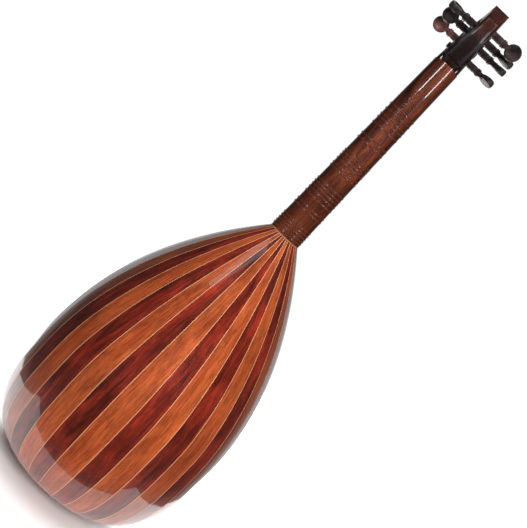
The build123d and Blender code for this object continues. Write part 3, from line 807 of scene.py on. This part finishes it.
def make_stage():
    """A pale table top that ends just past the bowl's back, on the camera's side."""
    corners = ((-FLOOR_SIDE, FLOOR_BACK), (FLOOR_SIDE, FLOOR_BACK),
               (FLOOR_SIDE, FLOOR_FRONT), (-FLOOR_SIDE, FLOOR_FRONT))
    floor = new_mesh("floor", [(x, y, FLOOR_HEIGHT) for x, y in corners], [(0, 1, 2, 3)])
    n = Nodes("floor")
    tone = n.noise(n.place(), 2.0, 2.0)
    tones = ((0.0, grey(FLOOR_TONES[0])), (1.0, grey(FLOOR_TONES[1])))
    n.set(Base_Color=n.ramp(tone, tones), Roughness=0.9, Specular_IOR_Level=0.1)
    floor.data.materials.append(n.material)
    return floor


def area_light(name, place, aim, size, power, glossy=False, receivers=()):
    """A soft lamp. With receivers, it lights only those pieces."""
    data = bpy.data.lights.new(name, "AREA")
    data.shape = "RECTANGLE"
    data.size, data.size_y = size
    data.energy = power
    lamp = bpy.data.objects.new(name, data)
    bpy.context.scene.collection.objects.link(lamp)
    look = (Vector(aim) - Vector(place)).to_track_quat("-Z", "Y").to_matrix().to_4x4()
    lamp.matrix_world = Matrix.Translation(place) @ look
    lamp.visible_glossy = glossy
    if receivers:
        lit = bpy.data.collections.new(name + "_lit")
        for piece in receivers:
            lit.objects.link(piece)
        lamp.light_linking.receiver_collection = lit


def make_world():
    """White to the eye; in reflections a pale wall behind the lute, and a dark room elsewhere.

    The wall hardly lights the wood itself, so the flanks stay dark.
    """
    world = bpy.data.worlds.new("studio")
    world.use_nodes = True
    bpy.context.scene.world = world
    tree = world.node_tree
    tree.nodes.clear()
    out = tree.nodes.new("ShaderNodeOutputWorld")
    path = tree.nodes.new("ShaderNodeLightPath")
    coord = tree.nodes.new("ShaderNodeTexCoord")
    split = tree.nodes.new("ShaderNodeSeparateXYZ")
    tree.links.new(coord.outputs["Generated"], split.inputs[0])
    wall = tree.nodes.new("ShaderNodeMapRange")
    wall.interpolation_type = "SMOOTHSTEP"
    wall.inputs["From Min"].default_value = WALL_DIRECTIONS[0]
    wall.inputs["From Max"].default_value = WALL_DIRECTIONS[1]
    wall.inputs["To Min"].default_value = WALL_LIGHT
    wall.inputs["To Max"].default_value = ROOM_LIGHT
    tree.links.new(split.outputs["Y"], wall.inputs["Value"])
    soft = tree.nodes.new("ShaderNodeBackground")
    soft.inputs["Color"].default_value = (1, 1, 1, 1)
    unlit = tree.nodes.new("ShaderNodeMath")
    unlit.operation = "MULTIPLY_ADD"
    unlit.inputs[1].default_value = -WALL_HELD_BACK
    unlit.inputs[2].default_value = 1.0
    tree.links.new(path.outputs["Is Diffuse Ray"], unlit.inputs[0])
    dimmed = tree.nodes.new("ShaderNodeMath")
    dimmed.operation = "MULTIPLY"
    tree.links.new(wall.outputs[0], dimmed.inputs[0])
    tree.links.new(unlit.outputs[0], dimmed.inputs[1])
    tree.links.new(dimmed.outputs[0], soft.inputs["Strength"])
    white = tree.nodes.new("ShaderNodeBackground")
    white.inputs["Color"].default_value = (1, 1, 1, 1)
    white.inputs["Strength"].default_value = BACKGROUND_LIGHT
    mix = tree.nodes.new("ShaderNodeMixShader")
    tree.links.new(path.outputs["Is Camera Ray"], mix.inputs[0])
    tree.links.new(soft.outputs[0], mix.inputs[1])
    tree.links.new(white.outputs[0], mix.inputs[2])
    tree.links.new(mix.outputs[0], out.inputs[0])


def make_lights(floor, neck, frets):
    """Soft light from above and from both sides of the lute, and narrow lamps for highlights."""
    make_world()
    area_light("ceiling", (0, -0.6, 3.0), (0, -0.6, 0), (7, 6), 270, receivers=[floor])
    area_light("overhead", (-0.4, 0.5, 3.0), (0, 0, 0.3), (2, 2), 16)
    area_light("front", (-0.5, 1.85, 1.1), (0, 0, 0.4), (1.0, 1.0), 50)
    area_light("rear", (0.5, -2.2, 1.5), (0, 0, 0.4), (1.4, 1.4), 42)
    area_light("window", (0.45, 0.68, 1.80), (0.1, 0.1, 0.41), (0.36, 0.62), 1.1, glossy=True)
    area_light("low", (0.3, 1.2, 0.3), (0.05, 0.1, 0.02), (0.7, 0.5), 0.8)
    for side, x, y in (("left", 0.27, 0.76), ("right", -0.46, 0.66)):
        area_light(f"strip_{side}", (x, y, 0.86), (0, 0, 0.76), (0.09, 0.10), 0.5, glossy=True,
                   receivers=[neck])
        area_light(f"tall_{side}", (x, y, 0.70), (0, 0, 0.62), (0.08, 0.8), 2.2, glossy=True,
                   receivers=[frets])
    bpy.context.scene.view_settings.view_transform = "Standard"


# ---------------------------------------------------------------- build

make_camera()
bowl_staves()
make_lights(make_stage(), make_neck(), make_frets())
make_pegs()
carried_over()
